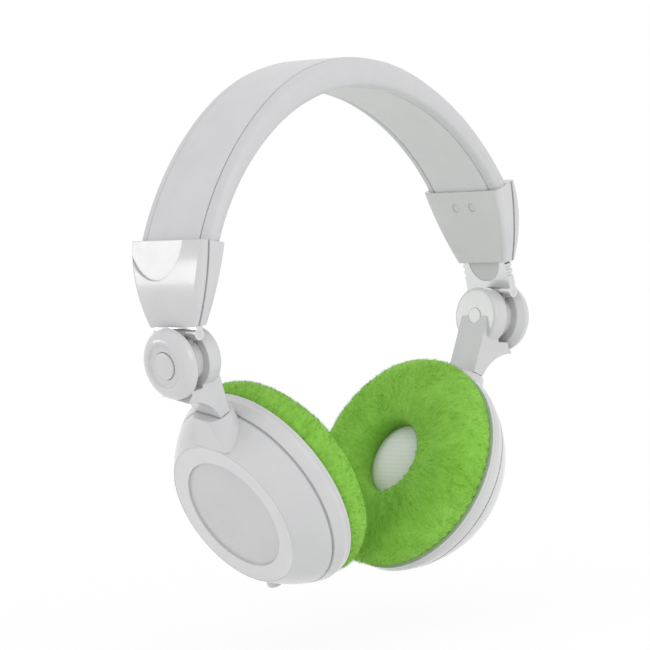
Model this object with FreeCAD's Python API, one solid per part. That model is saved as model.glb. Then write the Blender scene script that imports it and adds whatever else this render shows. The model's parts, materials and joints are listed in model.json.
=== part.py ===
import FreeCAD, Part
import math
import os

from FreeCAD import Placement, Rotation, Vector

# Folding over-ear headphones, in millimetres. +Z is up and -Y is the front. The origin is the
# middle of the band's inner crown, where the band rests on a head. What comes in pairs is drawn
# for the +X side and mirrored for the other.

# Headband: an arch of three tangent arcs on each face, padded thicker at the crown
band_width = 39.4
crown_thickness = 12.2
end_thickness = 8.0
crown_drop = 46.1            # from the inner crown down to the mouths of the end caps
mouth_half_span = 80.8       # from the middle to the band's outer face at a cap's mouth
shoulder_angle = 30.0        # from the top, where the crown's arc meets a side arc
mouth_angle = 64.4           # from the top, the way the outer face looks at a mouth
mouth_dip = 3.0              # a mouth's inner edge lies this much below its outer edge
tuck = 6.0                   # how far the band's end goes into a cap
panel_width = 30.0
panel_thickness = 1.5
liner_width = 31.0
liner_thickness = 2.6
edge_inset = 0.4             # the rolled edges lie this much below the panel and the liner
roll_radius = 2.6
spring_width = 16.0
spring_thickness = 1.0
spring_crown_depth = 5.2     # of the spring strip below the outer face
spring_end_depth = 5.4

# End caps
cap_height = 32.6
cap_half_width = 21.0
cap_mid_half_width = 18.6
cap_foot_half_width = 13.3
cap_proud = 3.0              # the outer face over the band's outer face
cap_mid_bulge = 1.7
cap_inner_proud = 0.3
cap_edge_radius = 2.2
cap_wall = 1.9
seam_width = 0.9
seam_depth = 0.9
anchor_width = 20.0          # plate on each end of the spring strip, screwed to the inner cap
anchor_thickness = 1.2
anchor_depth = 2.6           # behind the cap's inner face
anchor_rise = 3.6            # below the mouth, where the anchor starts
anchor_length = 11.0
cap_screw_spacing = 9.0
cap_screw_drop = 9.6         # below the mouth
cap_screw_radius = 0.9
cap_screw_head_radius = 1.8
cap_screw_head_height = 1.0
cap_screw_sunk = 0.3

# Slider: a steel blade with a moulded insert, ending in two knuckles
foot_spread = 2.5            # of the blade where it leaves a cap, out past the band at the mouth
slide_lean = 6.0             # degrees that the blade leans outward going down
blade_width = 24.0
blade_thickness = 3.2
blade_clearance = 0.15
blade_top_gap = 2.4          # from the band's end to the top of the blade pushed home
insert_width = 17.0
insert_thickness = 1.0
insert_inset = 0.2
insert_rise = 1.6            # end of the insert above the cap's foot, slider home
notch_pitch = 2.5
notch_radius = 0.7
notch_count = 8
click_leaf_thickness = 0.5
click_leaf_width = 2.2
click_leaf_length = 14.0
click_bump_radius = 0.6
click_gap = 0.3
knuckle_drop = 3.2           # from a cap's foot to the tilt pin, slider home
knuckle_radius = 2.3
knuckle_half_width = 6.0
knuckle_gap = 0.3
tilt_pin_radius = 1.1
side_play = 0.2
running_clearance = 0.05

# Hub: a link between two cheeks, a pin across them and a push button in the outer one
hub_drop = 10.0              # from the tilt pin to the swing pin
link_thickness = 3.2
link_eye_radius = 8.6
link_neck_half_width = 5.8
cheek_gap = 5.6
cheek_radius = 11.5
cheek_thickness = 6.7
cheek_edge_radius = 1.2
cover_radius = 13.8
cover_flare = 2.5            # from the cover's inner face out to its widest ring
cover_thickness = 7.5
cover_face_radius = 9.7
recess_radius = 8.7
recess_depth = 0.9
cover_floor = 0.8
cover_dome_drop = 2.4        # from the cover's face to the fullest point of its side
cover_dome_inset = 0.7
hinge_pin_radius = 3.0
washer_radius = 8.2
washer_play = 0.05
button_radius = 5.2
button_length = 6.1
button_crown = 0.5
button_play = 0.15
button_stem_radius = 1.5
button_stem_length = 11.4
button_travel = 6.0
button_sunk = 0.4            # of the pushed button below the cover's face

# Arm from the hub down to the cup
arm_width = 14.5
arm_web_radius = 10.2        # the bridge stays outside this, under the link's eye
arm_foot_thickness = 5.2
arm_lip = 0.7                # of the bridge under the hub cover, past its widest ring
arm_lip_share = 0.8          # of the cover's flare, how far out the lip's edge lies
arm_waist_in = 1.6           # of the bridge's outer side, behind its chord
arm_waist_rise = 1.9
arm_seat_gap = 0.3           # below the cheek's radius, where the bridge's inner top starts
post_radius = 2.4
post_root = 4.0
clip_radius = 4.4
clip_thickness = 1.2
foot_gap = 0.3

# Cup, drawn about its own axis: z' towards the ear, x' up, the rim plane at z' = 0
cup_inboard = 40.3           # from the swing pin to the rim's centre
cup_drop = 61.8
cup_tilt = 19.0
swivel_back = 12.6           # of the swivel axis behind the rim plane
rim_radius = 42.3
rim_band = 2.2               # height of the straight band behind the rim
groove_back = 7.0            # of the shell's decorative groove behind the rim plane
groove_width = 0.9
groove_depth = 0.6
shell_depth = 18.9
shell_wall = 2.0
shell_bulge = 0.7
shell_lip = 0.5              # of the shell around the back ring
ring_radius = 30.6
ring_inner_radius = 23.6
ring_thickness = 2.4
disc_crown = 0.5
disc_land = 4.0              # radius of the flat middle of the disc
disc_sunk = 0.9              # of the disc's edge below the ring's face
disc_arc_share = 0.6         # of the disc's radius, the arc's middle point and its height
disc_arc_rise = 0.75
collar_radius = 7.6
collar_root_radius = 10.5
collar_top = 44.6            # from the cup's axis
collar_wall = 3.4
collar_room = 0.8            # around the swivel clip
rim_ring_inner_radius = 35.0
rim_ring_height = 1.4
baffle_thickness = 1.6
driver_radius = 20.0
driver_wall = 1.4
driver_depth = 6.0
diaphragm_thickness = 0.4
diaphragm_back = 2.0
diaphragm_crown = 1.2
diaphragm_dome_share = 0.5   # of the diaphragm's radius, the middle dome
diaphragm_fold_share = 0.65
diaphragm_dome_fall = 0.9    # of the crown's height, left at the dome's edge
magnet_radius = 12.0
magnet_depth = 5.0
frame_vent_share = 0.7       # of the magnet's radius, the opening behind it
grille_thickness = 0.8
grille_flange = 3.0
grille_rise = 8.0            # of the cover's front over the rim plane, up inside the cushion
grille_hub_radius = 4.0
grille_rim_width = 1.6
grille_spoke_width = 1.4
grille_spokes = 6
scrim_thickness = 0.3
cup_screw_circle_radius = 32.4
cup_screw_radius = 1.0
cup_screw_head_radius = 1.9
cup_screw_head_height = 1.0
boss_radius = 2.6
boss_length = 13.0
cup_screw_length = 8.0
cushion_radius = 42.8
cushion_height = 17.6
cushion_hole_radius = 14.5
cushion_base_radius = 40.4
cushion_seat = 3.2           # of its underside over the rim plane, inside the rim ring
cushion_clearance = 0.3
cushion_shoulder_inset = 3.2
cushion_shoulder_share = 0.66
cushion_belly_share = 0.25   # of the cushion's rise, where its side is widest
cushion_crown_inset = 14.0
cushion_slope_inset = 7.8    # of the point between shoulder and crown
cushion_slope_drop = 1.3
cushion_throat_drop = 3.6
cushion_lip_width = 4.2      # from the hole's edge to the point where it turns over
cushion_lip_drop = 0.5
cushion_throat_bulge = 0.5
socket_radius = 3.9
socket_nose_radius = 3.2
socket_bore_radius = 1.78
socket_bore_length = 13.0
socket_back = 10.4
socket_proud = 0.8
socket_length = 9.0
socket_shoulder = 4.0        # past the wall, where the socket's body widens

# The pose that the parts are drawn in: pulled-out length in mm, then degrees tilted in towards
# the head and swung back, and how far the button stands out
poses = {
    "left": {"extension": 0.0, "tilt": 4.5, "swing": 11.7, "button": 0.0},
    "right": {"extension": 9.4, "tilt": 11.5, "swing": 0.8, "button": button_travel},
}

X = Vector(1, 0, 0)
Y = Vector(0, 1, 0)
Z = Vector(0, 0, 1)
centre = Vector(0, 0, 0)
foot_half_span = mouth_half_span + foot_spread
mouth_z = -crown_drop
foot_z = mouth_z - cap_height
far = 4 * mouth_half_span


def polar(radius, degrees):
    turn = math.radians(degrees)
    return Vector(radius * math.sin(turn), 0, radius * math.cos(turn))


def box(x0, x1, y0, y1, z0, z1):
    return Part.makeBox(x1 - x0, y1 - y0, z1 - z0, Vector(x0, y0, z0))


def rod(radius, start, axis, length):
    return Part.makeCylinder(radius, length, start, axis)


def line(a, b):
    return Part.LineSegment(a, b).toShape()


def arc(a, b, c):
    return Part.Arc(a, b, c).toShape()


def prism(edges, width):
    # a closed outline in the XZ plane, drawn out evenly to both sides of it
    solid = Part.Face(Part.Wire(edges)).extrude(Y * width)
    solid.translate(Y * (-width / 2))
    return solid


def outline(corners):
    # (radius, height) corners, with an arc where three are grouped: (start, middle, end)
    edges = []
    for item in corners:
        if len(item) == 2:
            a, b = [Vector(r, 0, z) for r, z in item]
            edges.append(line(a, b))
        else:
            edges.append(arc(*[Vector(r, 0, z) for r, z in item]))
    return Part.Face(Part.Wire(edges))


def turned(points):
    # a solid of revolution about Z from (radius, height) corners
    corners = [Vector(r, 0, z) for r, z in points]
    return Part.Face(Part.makePolygon(corners + [corners[0]])).revolve(centre, Z, 360)


class ArchCurve:
    # one face of the arch, at given depths below the band's outer face

    def __init__(self, crown_depth, end_depth):
        shoulder, mouth = math.radians(shoulder_angle), math.radians(mouth_angle)
        s1, c1 = math.sin(shoulder), math.cos(shoulder)
        s2, c2 = math.sin(mouth), math.cos(mouth)
        self.crown = crown_thickness - crown_depth
        end_x = mouth_half_span - end_depth * s2
        drop = self.crown - (mouth_z - end_depth * c2)
        share = s1 * (c1 - c2) - (1 - c1) * (s2 - s1)
        self.crown_radius = (end_x * (c1 - c2) - drop * (s2 - s1)) / share
        self.side_radius = (drop * s1 - end_x * (1 - c1)) / share

    def point(self, degrees):
        middle = Vector(0, 0, self.crown - self.crown_radius)
        if abs(degrees) <= shoulder_angle:
            return middle + polar(self.crown_radius, degrees)
        shoulder = math.copysign(shoulder_angle, degrees)
        middle = middle + polar(self.crown_radius - self.side_radius, shoulder)
        return middle + polar(self.side_radius, degrees)

    def edges(self, end_angle):
        stops = (-end_angle, -shoulder_angle, shoulder_angle, end_angle)
        spans = zip(stops, stops[1:])
        return [arc(self.point(a), self.point((a + b) / 2), self.point(b)) for a, b in spans]


def arch_layer(outer, inner, width, end_angle=mouth_angle + 10):
    ends = [line(outer.point(a), inner.point(a)) for a in (-end_angle, end_angle)]
    edges = Part.__sortEdges__(outer.edges(end_angle) + inner.edges(end_angle) + ends)
    return prism(edges, width)


def level_ends(solid):
    return solid.cut(box(-far, far, -far, far, mouth_z - far, mouth_z - tuck))


def rolled(solid, radius):
    # rounds the long edges on both sides of an arch layer
    half = solid.BoundBox.YMax
    chosen = []
    for edge in solid.Edges:
        span = edge.BoundBox
        on_side = span.YLength < 0.01 and abs(abs(span.YMin) - half) < 0.01
        if on_side and edge.Length > 2 * crown_thickness:
            chosen.append(edge)
    return solid.makeFillet(radius, chosen)


def anchor_plate():
    inner_face = cap_inner_line()
    start = inner_face(anchor_rise) + cap_inner_normal() * anchor_depth
    end = inner_face(anchor_rise + anchor_length) + cap_inner_normal() * anchor_depth
    through = cap_inner_normal() * anchor_thickness
    corners = [start, end, end + through, start + through]
    edges = [line(a, b) for a, b in zip(corners, corners[1:] + corners[:1])]
    return prism(edges, anchor_width)


def headband():
    panel = arch_layer(ArchCurve(0, 0), ArchCurve(panel_thickness, panel_thickness), panel_width)
    liner_top = ArchCurve(crown_thickness - liner_thickness, end_thickness - liner_thickness)
    liner = arch_layer(liner_top, ArchCurve(crown_thickness, end_thickness), liner_width)
    padding_top = ArchCurve(edge_inset, edge_inset)
    padding_foot = ArchCurve(crown_thickness - edge_inset, end_thickness - edge_inset)
    padding = rolled(arch_layer(padding_top, padding_foot, band_width), roll_radius)
    spring_top = ArchCurve(spring_crown_depth, spring_end_depth)
    spring_foot = ArchCurve(spring_crown_depth + spring_thickness, spring_end_depth + spring_thickness)
    strip = level_ends(arch_layer(spring_top, spring_foot, spring_width))
    anchor = anchor_plate()
    spring = strip.fuse(anchor).fuse(anchor.mirror(centre, X)).removeSplitter()
    parts = {
        "band_spring": spring,
        "band_top_panel": level_ends(panel).cut(spring),
        "band_liner": level_ends(liner).cut(spring),
        "band_padding": level_ends(padding.cut(panel).cut(liner)).cut(spring),
    }
    return parts


# End caps

def cap_inner_line():
    # the middle of a cap's inner face, at a drop below the mouth
    top = mouth_half_span - end_thickness / math.sin(math.radians(mouth_angle)) - cap_inner_proud
    foot = foot_half_span - blade_thickness / 2 - cap_wall
    return lambda drop: Vector(top + (foot - top) * drop / cap_height, 0, mouth_z - drop)


def cap_inner_normal():
    inner_face = cap_inner_line()
    down = (inner_face(cap_height) - inner_face(0)).normalize()
    return Vector(-down.z, 0, down.x)


def slide_axis():
    return polar(1, 180 - slide_lean)


def on_slide(solid, pulled=0.0):
    # puts a solid drawn about the cap's foot, with the blade's width along Y, onto the slide
    placed = solid.copy()
    foot = Vector(foot_half_span, 0, foot_z) + slide_axis() * pulled
    placed.Placement = Placement(foot, Rotation(Y, -slide_lean))
    return placed


def cap_block(inset):
    # the front view drawn out along Y, crossed with the side view drawn out along X
    inner_face = cap_inner_line()
    shift = X * inset
    mouth_out = Vector(mouth_half_span + cap_proud, 0, mouth_z) - shift
    foot_out = Vector(foot_half_span + blade_thickness / 2 + cap_wall, 0, foot_z) - shift
    middle_out = (mouth_out + foot_out) * 0.5 + X * cap_mid_bulge
    mouth_in = inner_face(mouth_dip) + shift
    foot_in = inner_face(cap_height) + shift
    front = [arc(mouth_out, middle_out, foot_out), line(foot_out, foot_in)]
    front += [line(foot_in, mouth_in), line(mouth_in, mouth_out)]
    middle_z = mouth_z - cap_height / 2
    sides = []
    for sign in (1, -1):
        mouth_corner = Vector(0, sign * (cap_half_width - inset), mouth_z)
        middle = Vector(0, sign * (cap_mid_half_width - inset), middle_z)
        foot_corner = Vector(0, sign * (cap_foot_half_width - inset), foot_z)
        sides.append((mouth_corner, middle, foot_corner))
    (a, b, c), (d, e, f) = sides
    side = Part.Face(Part.Wire([arc(a, b, c), line(c, f), arc(f, e, d), line(d, a)]))
    return prism(front, 4 * cap_half_width).common(side.extrude(X * 2 * mouth_half_span))


def caps(band):
    whole = cap_block(0)
    upright = [e for e in whole.Edges if e.BoundBox.ZLength > cap_height * 0.9]
    whole = whole.makeFillet(cap_edge_radius, upright)
    half = blade_thickness / 2 + blade_clearance
    width = blade_width / 2 + blade_clearance
    length = cap_height - tuck - blade_top_gap + 1
    outboard = on_slide(box(half, far, -far, far, -far, far))
    seam = on_slide(box(half - seam_width, half, -far, far, -far, far))
    seam = seam.common(whole).cut(cap_block(seam_depth))
    channel = on_slide(box(-half, half, -width, width, -far, length))
    outer = whole.common(outboard)
    inner = whole.cut(outboard).cut(seam).cut(channel)
    for piece in band.values():
        outer = outer.cut(piece)
        inner = inner.cut(piece)

    inner_face, normal = cap_inner_line(), cap_inner_normal()
    screws = []
    for y in (-cap_screw_spacing / 2, cap_screw_spacing / 2):
        seat = inner_face(cap_screw_drop) + Y * y + normal * cap_screw_sunk
        head = rod(cap_screw_head_radius, seat, normal, cap_screw_head_height)
        shank = rod(cap_screw_radius, seat, normal, anchor_depth - cap_screw_sunk)
        inner = inner.cut(rod(cap_screw_head_radius, seat - normal, normal, cap_screw_head_height + 1))
        inner = inner.cut(shank)
        screws.append(head.fuse(shank).removeSplitter())

    near = blade_width / 2 + click_gap + click_bump_radius
    middle = length / 2
    leaf = box(-click_leaf_width / 2, click_leaf_width / 2, near, near + click_leaf_thickness,
               middle - click_leaf_length / 2, middle + click_leaf_length / 2)
    bump = rod(click_bump_radius, Vector(-click_leaf_width / 2, near, middle), X, click_leaf_width)
    room = box(-click_leaf_width / 2, click_leaf_width / 2, width - 1, near + click_leaf_thickness,
               middle - click_leaf_length / 2, middle + click_leaf_length / 2)
    click_spring = on_slide(leaf.fuse(bump).removeSplitter())
    inner = inner.cut(on_slide(room)).cut(click_spring)
    return {
        "cap_outer": outer,
        "cap_inner": inner,
        "cap_screws": Part.makeCompound(screws),
        "click_spring": click_spring,
    }


# Slider

def slider(pulled):
    half = blade_thickness / 2
    top = cap_height - tuck - blade_top_gap
    knuckle = Vector(0, 0, -knuckle_drop)
    blade = box(-half, half, -blade_width / 2, blade_width / 2, -knuckle_drop, top)
    blade = blade.fuse(rod(knuckle_radius, knuckle - Y * blade_width / 2, Y, blade_width))
    inner_half = knuckle_half_width + side_play
    blade = blade.cut(rod(knuckle_radius + knuckle_gap, knuckle - Y * inner_half, Y, 2 * inner_half))
    blade = blade.cut(box(-half, half, -inner_half, inner_half, -2 * knuckle_drop, -knuckle_drop))
    blade = blade.cut(rod(tilt_pin_radius, knuckle - Y * blade_width, Y, 2 * blade_width))
    for n in range(notch_count):
        height = top - notch_pitch * (n + 1)
        for y in (-blade_width / 2, blade_width / 2):
            blade = blade.cut(rod(notch_radius, Vector(-half, y, height), X, blade_thickness))
    round_middle = Vector(-half, 0, insert_rise + insert_width / 2)
    seat = box(-half, -half + insert_thickness, -insert_width / 2, insert_width / 2, round_middle.z, top)
    seat = seat.fuse(rod(insert_width / 2, round_middle, X, insert_thickness))
    insert = seat.cut(box(-half, -half + insert_inset, -far, far, -far, far))
    pin = rod(tilt_pin_radius, knuckle - Y * blade_width / 2, Y, blade_width)
    solids = {
        "slider_blade": blade.cut(seat).removeSplitter(),
        "slider_insert": insert.removeSplitter(),
        "tilt_pin": pin,
    }
    return {name: on_slide(solid, pulled) for name, solid in solids.items()}


# Hub, drawn about the swing pin with the tilt pin straight above it

def hub_link():
    half = link_thickness / 2
    link = rod(link_eye_radius, Vector(-half, 0, 0), X, link_thickness)
    link = link.fuse(box(-half, half, -link_neck_half_width, link_neck_half_width, 0, hub_drop))
    link = link.fuse(rod(knuckle_radius, Vector(0, -knuckle_half_width, hub_drop), Y, 2 * knuckle_half_width))
    link = link.cut(rod(tilt_pin_radius + running_clearance, Vector(0, -far, hub_drop), Y, 2 * far))
    return link.cut(rod(hinge_pin_radius + running_clearance, Vector(-far, 0, 0), X, 2 * far)).removeSplitter()


def across(solid):
    # turns a solid drawn about Z so that its top looks outboard
    placed = solid.copy()
    placed.Placement = Placement(centre, Rotation(Y, 90))
    return placed


def hub_cover():
    inner = cheek_gap / 2
    face = inner + cover_thickness
    profile = [
        ((0, inner), (cheek_radius, inner)),
        ((cheek_radius, inner), (cover_radius, inner + cover_flare)),
        ((cover_radius, inner + cover_flare), (cover_radius - cover_dome_inset, face - cover_dome_drop),
         (cover_face_radius, face)),
        ((cover_face_radius, face), (recess_radius, face)),
        ((recess_radius, face), (recess_radius - recess_depth, face - recess_depth)),
        ((recess_radius - recess_depth, face - recess_depth), (0, face - recess_depth)),
        ((0, face - recess_depth), (0, inner)),
    ]
    cover = outline(profile).revolve(centre, Z, 360)
    bore = button_radius + button_play
    cover = cover.cut(rod(bore, Vector(0, 0, inner + cover_floor), Z, cover_thickness))
    return across(cover.cut(rod(hinge_pin_radius, centre, Z, cover_thickness)))


def lock_button(out):
    face = cheek_gap / 2 + cover_thickness - button_sunk + out
    dome = [
        ((0, face + button_crown), (button_radius / 2, face + 0.75 * button_crown), (button_radius, face)),
        ((button_radius, face), (button_radius, face - button_length)),
        ((button_radius, face - button_length), (0, face - button_length)),
        ((0, face - button_length), (0, face + button_crown)),
    ]
    head = outline(dome).revolve(centre, Z, 360)
    stem = rod(button_stem_radius, Vector(0, 0, face - button_length - button_stem_length), Z, button_stem_length)
    return across(head.fuse(stem).removeSplitter())


def hinge_pin():
    inner_end = -cheek_gap / 2 - cheek_thickness
    outer_end = cheek_gap / 2 + cover_floor
    pin = rod(hinge_pin_radius, Vector(0, 0, inner_end), Z, outer_end - inner_end)
    return across(pin.cut(rod(button_stem_radius + running_clearance, Vector(0, 0, -far), Z, 2 * far)))


def hub_washers():
    inner = link_thickness / 2 + washer_play
    outer = cheek_gap / 2
    ring = rod(washer_radius, Vector(0, 0, inner), Z, outer - inner).cut(rod(hinge_pin_radius, centre, Z, outer))
    other = ring.mirror(centre, Z)
    return across(Part.makeCompound([ring, other]))


def cup_axes():
    # the cup's inward and upward directions, seen from the hub
    return polar(1, cup_tilt - 90), polar(1, cup_tilt)


def arm_foot():
    inward, up = cup_axes()
    rim_centre = Vector(-cup_inboard, 0, -cup_drop)
    return rim_centre - inward * swivel_back + up * (collar_top + foot_gap)


def hanger_arm():
    inner = cheek_gap / 2
    side = inner + cheek_thickness
    cheek = rod(cheek_radius, Vector(-side, 0, 0), X, cheek_thickness)
    rim = [e for e in cheek.Edges if e.BoundBox.XMax < -side + 0.01 and e.BoundBox.YLength > cheek_radius]
    cheek = cheek.makeFillet(cheek_edge_radius, rim)
    inward, up = cup_axes()
    foot = arm_foot()
    foot_in = foot + inward * (arm_foot_thickness / 2)
    foot_out = foot - inward * (arm_foot_thickness / 2)
    web = arm_web_radius
    lip = Vector(inner + cover_flare * arm_lip_share, 0, -cover_radius - arm_lip)
    waist = (lip + foot_out) * 0.5 + Vector(-arm_waist_in, 0, arm_waist_rise)
    top = Vector(inner, 0, -cheek_radius - arm_seat_gap)
    corners = [top, Vector(inner, 0, -web), Vector(-inner, 0, -web), Vector(-inner, 0, 0), Vector(-side, 0, 0)]
    edges = [line(a, b) for a, b in zip(corners, corners[1:])]
    edges += [line(corners[-1], foot_in), line(foot_in, foot_out), arc(foot_out, waist, lip), line(lip, top)]
    bracket = prism(edges, arm_width)
    bracket = bracket.cut(rod(arm_web_radius, Vector(-inner, 0, 0), X, 2 * inner))
    arm = cheek.fuse(bracket).removeSplitter()
    arm = arm.cut(rod(hinge_pin_radius, Vector(-far, 0, 0), X, 2 * far))
    return arm.cut(rod(post_radius, foot, up, post_root)).cut(hub_cover())


def swivel_post():
    up = cup_axes()[1]
    length = post_root + foot_gap + collar_wall + clip_thickness + 2 * foot_gap
    foot = arm_foot()
    post = rod(post_radius, foot + up * post_root, up * -1, length)
    clip_start = foot - up * (foot_gap + collar_wall + foot_gap)
    clip = rod(clip_radius, clip_start, up * -1, clip_thickness).cut(post)
    return {"swivel_post": post, "swivel_clip": clip}


# Cup, in its own axes

def shell_outline(inset):
    r = rim_radius - inset
    back = -shell_depth + inset
    bottom = ring_radius + shell_lip - inset
    middle = ((r + bottom) / 2 + shell_bulge, (back - rim_band) / 2 - shell_bulge)
    return [
        ((0, 0), (r, 0)),
        ((r, 0), (r, -rim_band)),
        ((r, -rim_band), middle, (bottom, back)),
        ((bottom, back), (0, back)),
        ((0, back), (0, 0)),
    ]


def cup_collar():
    root = ring_radius + shell_lip
    collar = Part.makeCone(collar_root_radius, collar_radius, collar_top - root, Vector(root, 0, -swivel_back), X)
    return collar.common(box(root, collar_top, -far, far, -shell_depth, far))


def shell_form(inset):
    # turned so that the seam of its round faces lies clear of the collar, screws and socket
    solid = outline(shell_outline(inset)).revolve(centre, Z, 360)
    solid.rotate(centre, Z, 90)
    return solid


def cup_shell():
    body = shell_form(0)
    groove = rod(rim_radius, Vector(0, 0, -groove_back), Z, groove_width)
    groove = groove.cut(rod(shell_radius_at(-groove_back) - groove_depth, Vector(0, 0, -far), Z, 2 * far))
    floor = -shell_depth + ring_thickness
    hollow = shell_form(shell_wall)
    hollow = hollow.cut(rod(far, Vector(0, 0, floor + shell_wall - far), Z, far))
    seat = rod(rim_radius - shell_wall, Vector(0, 0, -baffle_thickness), Z, baffle_thickness)
    ring_seat = rod(ring_radius, Vector(0, 0, -shell_depth), Z, ring_thickness)
    shell = body.fuse(cup_collar()).cut(hollow).cut(seat).cut(ring_seat).cut(groove)
    neck = Vector(ring_radius + shell_lip, 0, -swivel_back)
    shell = shell.cut(rod(clip_radius + collar_room, neck, X, collar_top - collar_wall - neck.x))
    shell = shell.cut(rod(post_radius + running_clearance, neck, X, far))
    core = shell_form(shell_wall / 2)
    for place in cup_screw_places():
        boss = rod(boss_radius, place - Z * (baffle_thickness + boss_length), Z, boss_length)
        shell = shell.fuse(boss.common(core))
    for place in cup_screw_places():
        shell = shell.cut(rod(cup_screw_radius, place - Z * cup_screw_length, Z, cup_screw_length))
    return shell.removeSplitter()


def shell_radius_at(height):
    # of the shell's outer face
    section = outline(shell_outline(0)).common(Part.makeLine(Vector(0, 0, height), Vector(far, 0, height)))
    return section.BoundBox.XMax


def cup_screw_places():
    return [polar_xy(cup_screw_circle_radius, 45 + 90 * n) for n in range(4)]


def polar_xy(radius, degrees):
    turn = math.radians(degrees)
    return Vector(radius * math.cos(turn), radius * math.sin(turn), 0)


def ear_cushion():
    rise = cushion_height - cushion_seat
    shoulder = (cushion_radius - cushion_shoulder_inset, cushion_seat + cushion_shoulder_share * rise)
    belly = (cushion_radius, cushion_seat + cushion_belly_share * rise)
    slope = (cushion_radius - cushion_slope_inset, cushion_height - cushion_slope_drop)
    crown = (cushion_radius - cushion_crown_inset, cushion_height)
    lip = (cushion_hole_radius + cushion_lip_width, cushion_height - cushion_lip_drop)
    throat = (cushion_hole_radius, cushion_height - cushion_throat_drop)
    root = (driver_radius - driver_wall - grille_flange + cushion_clearance, cushion_seat)
    profile = [
        ((rim_ring_inner_radius, rim_ring_height), (cushion_base_radius, rim_ring_height)),
        ((cushion_base_radius, rim_ring_height), belly, shoulder),
        (shoulder, slope, crown),
        (crown, lip, throat),
        (throat, ((throat[0] + root[0]) / 2 + cushion_throat_bulge, (throat[1] + root[1]) / 2), root),
        (root, (rim_ring_inner_radius, cushion_seat)),
        ((rim_ring_inner_radius, cushion_seat), (rim_ring_inner_radius, rim_ring_height)),
    ]
    return outline(profile).revolve(centre, Z, 360)


def grille():
    # a raised cover over the driver: flange, wall and an open front of spokes, under the scrim
    outer = driver_radius - driver_wall
    wall = outer - grille_flange
    inner = wall - grille_thickness
    face = grille_rise - grille_thickness
    web = turned([(inner, 0), (outer, 0), (outer, grille_thickness), (wall, grille_thickness),
                  (wall, grille_rise), (inner - grille_rim_width, grille_rise),
                  (inner - grille_rim_width, face), (inner, face)])
    web = web.fuse(rod(grille_hub_radius, Vector(0, 0, face), Z, grille_thickness))
    half = grille_spoke_width / 2
    spoke = box(grille_hub_radius - half, inner, -half, half, face, grille_rise)
    for n in range(grille_spokes):
        arm = spoke.copy()
        arm.Placement = Placement(centre, Rotation(Z, 360 * n / grille_spokes))
        web = web.fuse(arm)
    return web.removeSplitter()


def driver_scrim():
    radius = driver_radius - driver_wall - grille_flange
    return rod(radius, Vector(0, 0, grille_rise), Z, scrim_thickness)


def cup():
    floor = -shell_depth
    top = ring_thickness
    back_ring = turned([(ring_inner_radius, floor), (ring_radius, floor), (ring_radius, floor + top),
                        (ring_inner_radius, floor + top)])
    edge = floor + disc_sunk
    disc_profile = [
        ((0, floor + top), (ring_inner_radius, floor + top)),
        ((ring_inner_radius, floor + top), (ring_inner_radius, edge)),
        ((ring_inner_radius, edge), (ring_inner_radius * disc_arc_share, edge - disc_crown * disc_arc_rise),
         (disc_land, edge - disc_crown)),
        ((disc_land, edge - disc_crown), (0, edge - disc_crown)),
        ((0, edge - disc_crown), (0, floor + top)),
    ]
    back_disc = outline(disc_profile).revolve(centre, Z, 360)
    rim_ring = rod(rim_radius, centre, Z, rim_ring_height).cut(rod(rim_ring_inner_radius, centre, Z, 2))
    baffle = rod(rim_radius - shell_wall, Vector(0, 0, -baffle_thickness), Z, baffle_thickness)
    baffle = baffle.cut(rod(driver_radius, Vector(0, 0, -far), Z, 2 * far))
    frame = rod(driver_radius, Vector(0, 0, -driver_depth), Z, driver_depth)
    frame = frame.cut(rod(driver_radius - driver_wall, Vector(0, 0, driver_wall - driver_depth), Z, driver_depth))
    frame = frame.cut(rod(magnet_radius * frame_vent_share, Vector(0, 0, -far), Z, far))
    magnet = rod(magnet_radius, Vector(0, 0, -driver_depth - magnet_depth), Z, magnet_depth)
    edge = driver_radius - driver_wall
    cone = turned([(0, -diaphragm_back + diaphragm_crown), (edge * diaphragm_dome_share, -diaphragm_back + diaphragm_dome_fall * diaphragm_crown),
                   (edge * diaphragm_fold_share, -diaphragm_back), (edge, -diaphragm_back),
                   (edge, -diaphragm_back - diaphragm_thickness), (0, -diaphragm_back - diaphragm_thickness)])
    screws = []
    for place in cup_screw_places():
        head = rod(cup_screw_head_radius, place, Z, cup_screw_head_height)
        shank = rod(cup_screw_radius, place - Z * cup_screw_length, Z, cup_screw_length)
        baffle = baffle.cut(shank)
        screws.append(head.fuse(shank).removeSplitter())
    return {
        "cup_shell": cup_shell(),
        "back_ring": back_ring,
        "back_disc": back_disc,
        "rim_ring": rim_ring,
        "baffle": baffle,
        "driver_frame": frame,
        "driver_magnet": magnet,
        "driver_diaphragm": cone,
        "driver_grille": grille(),
        "driver_scrim": driver_scrim(),
        "cup_screws": Part.makeCompound(screws),
        "ear_cushion": ear_cushion(),
    }


def audio_socket():
    # in the cup's axes, looking down out of the shell's lowest wall
    wall = shell_radius_at(-socket_back)
    start = Vector(-wall - socket_proud, 0, -socket_back)
    nose_length = socket_proud + shell_wall + socket_shoulder
    nose = rod(socket_nose_radius, start, X, nose_length)
    body = rod(socket_radius, start + X * nose_length, X, socket_length)
    whole = nose.fuse(body).removeSplitter()
    # the hole in the shell runs on outwards, where the wall leans over the nose
    reach = X * (2 * socket_nose_radius)
    hole = rod(socket_nose_radius, start - reach, X, nose_length + reach.Length)
    return whole.cut(rod(socket_bore_radius, start, X, socket_bore_length)), hole


def posed(pose):
    # hub frame to part frame: swing about the swing pin, tilt about the tilt pin, slide
    swing = Placement(centre, Rotation(X, pose["swing"]))
    lower = Placement(Vector(0, 0, -hub_drop), Rotation())
    tilt = Placement(centre, Rotation(Y, pose["tilt"]))
    knuckle = Vector(foot_half_span, 0, foot_z) + slide_axis() * (knuckle_drop + pose["extension"])
    place = Placement(knuckle, Rotation()).multiply(tilt).multiply(lower)
    return place, place.multiply(swing)


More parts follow.
